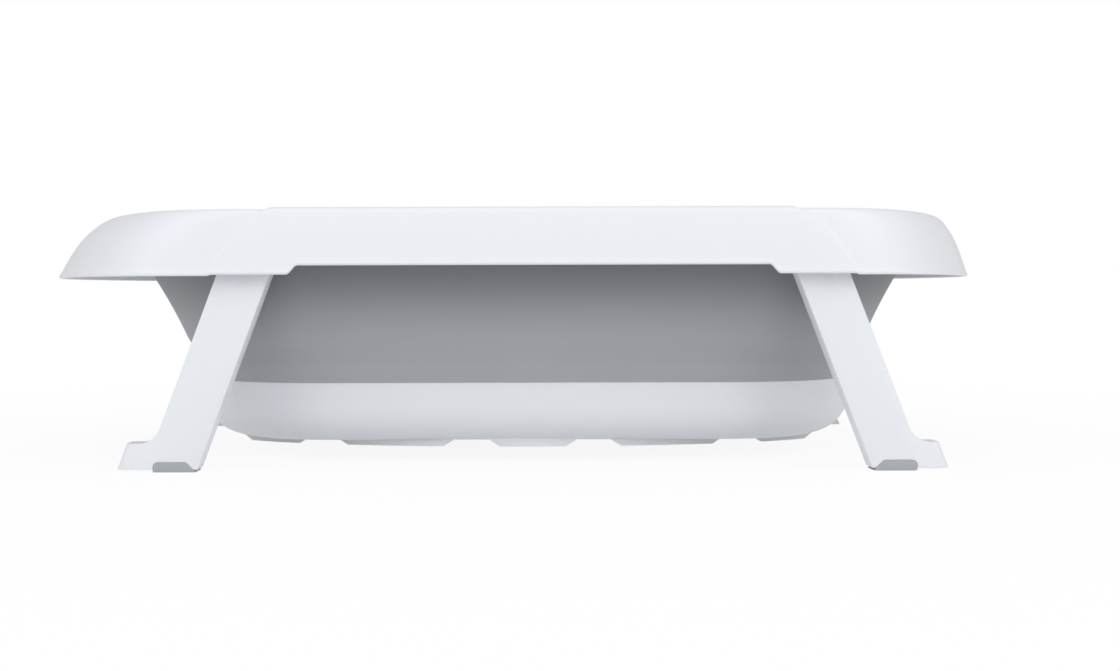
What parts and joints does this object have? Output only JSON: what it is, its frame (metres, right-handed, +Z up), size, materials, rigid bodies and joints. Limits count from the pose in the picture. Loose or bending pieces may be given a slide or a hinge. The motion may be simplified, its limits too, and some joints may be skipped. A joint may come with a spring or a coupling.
{
  "type": "baby bathtub",
  "caption": "Collapsible baby bath: white rim and base tray joined by a grey soft wall, on four separate legs that fold flat into the rim.",
  "frame": {"origin": "on the floor under the middle of the rim", "axes": "+X from the raked head end to the foot end, +Y towards the back long side, +Z up"},
  "size_m": [0.8, 0.48, 0.204],
  "materials": {
    "white_plastic": "satin moulded white polypropylene",
    "grey_soft_wall": "matte grey thermoplastic elastomer",
    "soft_white_pads": "matte off-white elastomer",
    "grey_rubber": "matte grey rubber",
    "grey_plug": "matte grey plastic",
    "steel": "plain zinc-plated steel"
  },
  "bodies": {
    "rim_body": {"rim": "white_plastic", "side_wall": "grey_soft_wall", "bracket_screws": "steel", "head_front_hinge_bracket": "white_plastic", "head_front_hinge_pin": "steel", "head_front_pin_clip": "steel", "head_back_hinge_bracket": "white_plastic", "head_back_hinge_pin": "steel", "head_back_pin_clip": "steel", "foot_front_hinge_bracket": "white_plastic", "foot_front_hinge_pin": "steel", "foot_front_pin_clip": "steel", "foot_back_hinge_bracket": "white_plastic", "foot_back_hinge_pin": "steel", "foot_back_pin_clip": "steel"},
    "base": {"base_tray": "white_plastic", "base_pads": "soft_white_pads"},
    "plug": {"drain_plug": "grey_plug", "plug_seal": "grey_rubber"},
    "head_front_leg_body": {"head_front_leg": "white_plastic", "head_front_foot_pad": "grey_rubber"},
    "head_back_leg_body": {"head_back_leg": "white_plastic", "head_back_foot_pad": "grey_rubber"},
    "foot_front_leg_body": {"foot_front_leg": "white_plastic", "foot_front_foot_pad": "grey_rubber"},
    "foot_back_leg_body": {"foot_back_leg": "white_plastic", "foot_back_foot_pad": "grey_rubber"}
  },
  "joints": [
    {"name": "base_collapse", "type": "slide", "parent": "rim_body", "child": "base", "axis": [0, 0, 1], "range_m": [0, 0.12], "deforming": ["side_wall"]},
    {"name": "head_front_leg_fold", "type": "hinge", "parent": "rim_body", "child": "head_front_leg_body", "pos_m": [-0.1982, -0.2165, 0.1792], "axis": [0, -1, 0], "range_deg": [0, 110.4]},
    {"name": "head_back_leg_fold", "type": "hinge", "parent": "rim_body", "child": "head_back_leg_body", "pos_m": [-0.1982, 0.2165, 0.1792], "axis": [0, -1, 0], "range_deg": [0, 110.4]},
    {"name": "foot_front_leg_fold", "type": "hinge", "parent": "rim_body", "child": "foot_front_leg_body", "pos_m": [0.2292, -0.2165, 0.1792], "axis": [0, 1, 0], "range_deg": [0, 110.9]},
    {"name": "foot_back_leg_fold", "type": "hinge", "parent": "rim_body", "child": "foot_back_leg_body", "pos_m": [0.2292, 0.2165, 0.1792], "axis": [0, 1, 0], "range_deg": [0, 110.9]},
    {"name": "plug_lift", "type": "slide", "parent": "base", "child": "plug", "axis": [0, 0, 1], "range_m": [0, 0.03]}
  ]
}
